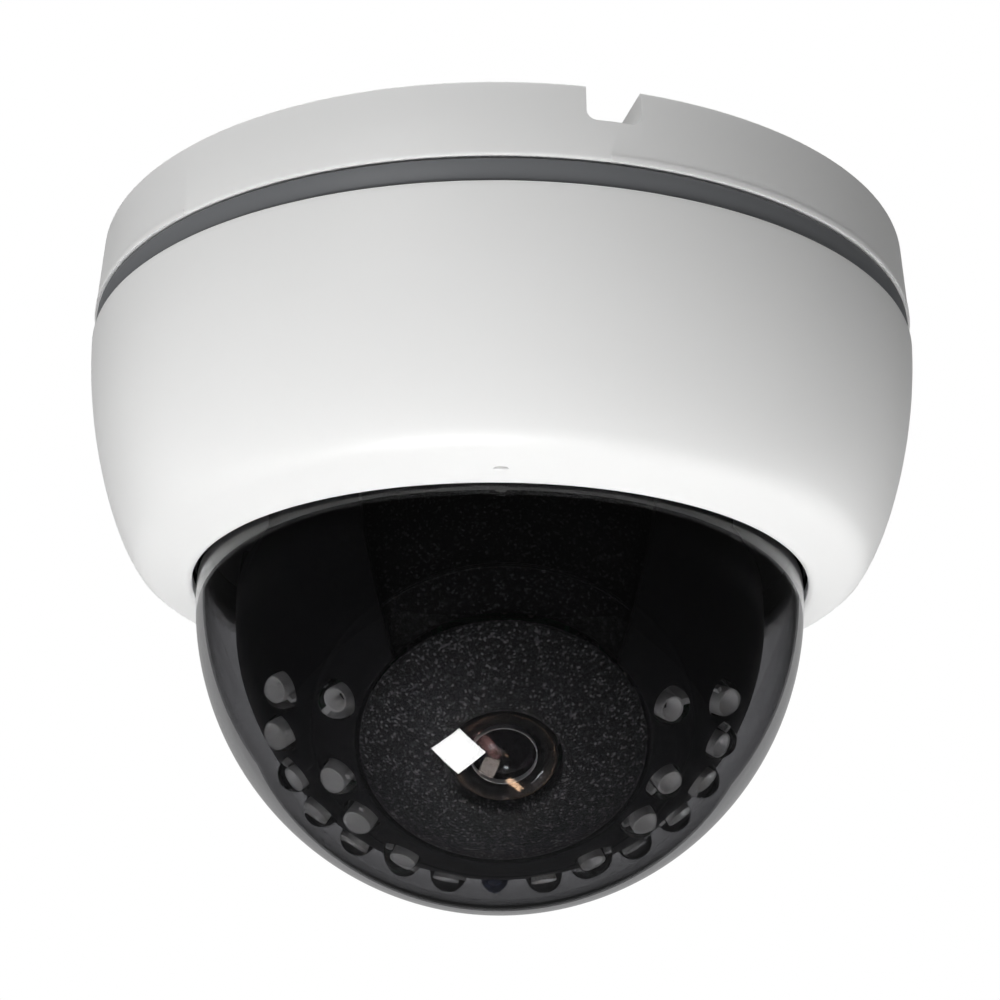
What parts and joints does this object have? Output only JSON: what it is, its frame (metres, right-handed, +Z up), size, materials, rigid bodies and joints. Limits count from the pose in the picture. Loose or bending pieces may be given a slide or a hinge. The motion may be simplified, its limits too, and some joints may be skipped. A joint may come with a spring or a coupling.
{
  "type": "dome security camera",
  "caption": "Ceiling dome camera: white housing with a grey lock ring, smoked dome, and an infrared eyeball that pans, tilts and rolls.",
  "frame": {"origin": "middle of the base's ceiling face", "axes": "+Z up into the ceiling, -Y the way the lens looks, +X to the right seen from in front"},
  "size_m": [0.116, 0.116, 0.0922],
  "materials": {
    "white_plastic": "fine satin moulded texture, off-white",
    "grey_plastic": "satin dark grey",
    "smoked_dome": "polished smoked transparent polycarbonate",
    "black_plastic": "smooth satin black",
    "grained_plastic": "coarse sparkling mould grain, black",
    "rubber": "soft matt black",
    "connector_plastic": "satin green",
    "circuit_board": "solder-mask lacquer",
    "steel": "zinc-plated screws",
    "clear_resin": "water-clear cast epoxy",
    "coated_glass": "polished with a violet coating",
    "sensor_chip": "dark window"
  },
  "bodies": {
    "base": {"base_housing": "white_plastic", "cable_grommet": "rubber", "main_board": "circuit_board", "board_screw_left": "steel", "board_screw_right": "steel", "terminal_block": "connector_plastic", "pan_ring": "black_plastic", "pan_ring_screw_1": "steel", "pan_ring_screw_2": "steel", "pan_ring_screw_3": "steel"},
    "locking_ring": {"lock_ring": "grey_plastic"},
    "cover": {"outer_cover": "white_plastic", "dome_bubble": "smoked_dome", "dome_seal": "rubber", "dome_retainer": "black_plastic", "retainer_screw_1": "steel", "retainer_screw_2": "steel", "retainer_screw_3": "steel"},
    "pan_yoke": {"turntable": "black_plastic"},
    "eyeball": {"ball_shell": "black_plastic", "ball_rear": "black_plastic", "slot_liner": "grained_plastic", "led_board": "circuit_board", "light_sensor": "sensor_chip", "tilt_screw_left": "steel", "tilt_screw_right": "steel", "carrier_plate": "black_plastic", "led_01": "clear_resin", "led_02": "clear_resin", "led_03": "clear_resin", "led_04": "clear_resin", "led_05": "clear_resin", "led_06": "clear_resin", "led_07": "clear_resin", "led_08": "clear_resin", "led_09": "clear_resin", "led_10": "clear_resin", "led_11": "clear_resin", "led_12": "clear_resin", "led_13": "clear_resin", "led_14": "clear_resin", "led_15": "clear_resin", "led_16": "clear_resin", "led_17": "clear_resin", "led_18": "clear_resin", "led_19": "clear_resin", "led_20": "clear_resin", "led_21": "clear_resin", "led_22": "clear_resin"},
    "lens_module": {"roll_hub": "black_plastic", "sensor_board": "circuit_board", "image_sensor": "sensor_chip", "front_cap": "grained_plastic", "lens_holder": "black_plastic"},
    "focus_barrel": {"lens_lock_ring": "steel", "lens_barrel": "black_plastic", "front_glass": "coated_glass", "rear_glass": "coated_glass"}
  },
  "joints": [
    {"name": "lock_ring_turn", "type": "hinge", "parent": "base", "child": "locking_ring", "pos_m": [0, 0, -0.0126], "axis": [0, 0, 1], "range_deg": [0, 12]},
    {"name": "cover_slide", "type": "slide", "parent": "base", "child": "cover", "axis": [0, 0, -1], "range_m": [0, 0.095]},
    {"name": "pan_turn", "type": "hinge", "parent": "base", "child": "pan_yoke", "pos_m": [0, 0, -0.0119], "axis": [0, 0, 1], "range_deg": [-177, 177]},
    {"name": "tilt_turn", "type": "hinge", "parent": "pan_yoke", "child": "eyeball", "pos_m": [0, 0, -0.0514], "axis": [1, 0, 0], "range_deg": [-50.4, 39.6]},
    {"name": "roll_turn", "type": "hinge", "parent": "eyeball", "child": "lens_module", "pos_m": [0, 0, -0.0514], "axis": [0, -0.6374, -0.7705], "range_deg": [-90, 90]},
    {"name": "focus_turn", "type": "hinge", "parent": "lens_module", "child": "focus_barrel", "pos_m": [0, 0, -0.0514], "axis": [0, -0.6374, -0.7705], "range_deg": [-90, 90]}
  ]
}
